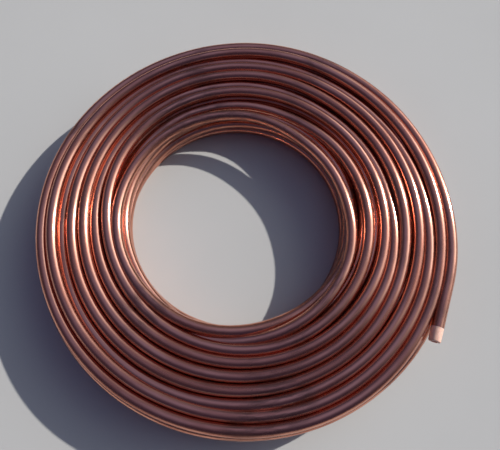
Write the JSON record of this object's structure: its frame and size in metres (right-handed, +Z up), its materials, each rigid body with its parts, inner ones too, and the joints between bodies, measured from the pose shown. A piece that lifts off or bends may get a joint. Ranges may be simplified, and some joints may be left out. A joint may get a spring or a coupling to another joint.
{
  "type": "copper tube coil",
  "caption": "Coil of soft copper tube wound flat in layers round an open bore, its loose outer end closed with a push-in plastic plug.",
  "frame": {"origin": "on the floor under the coil, on the axis of its bore", "axes": "+Z up along the bore; +X towards the right of the picture, where the loose end lies; -Y towards the viewer"},
  "size_m": [0.4721, 0.4716, 0.0513],
  "materials": {
    "copper": "satin, drawn and slightly tarnished copper",
    "plug_plastic": "satin, pale translucent plastic"
  },
  "bodies": {
    "root": {"tube_coil": "copper", "end_plug": "plug_plastic"}
  },
  "joints": []
}
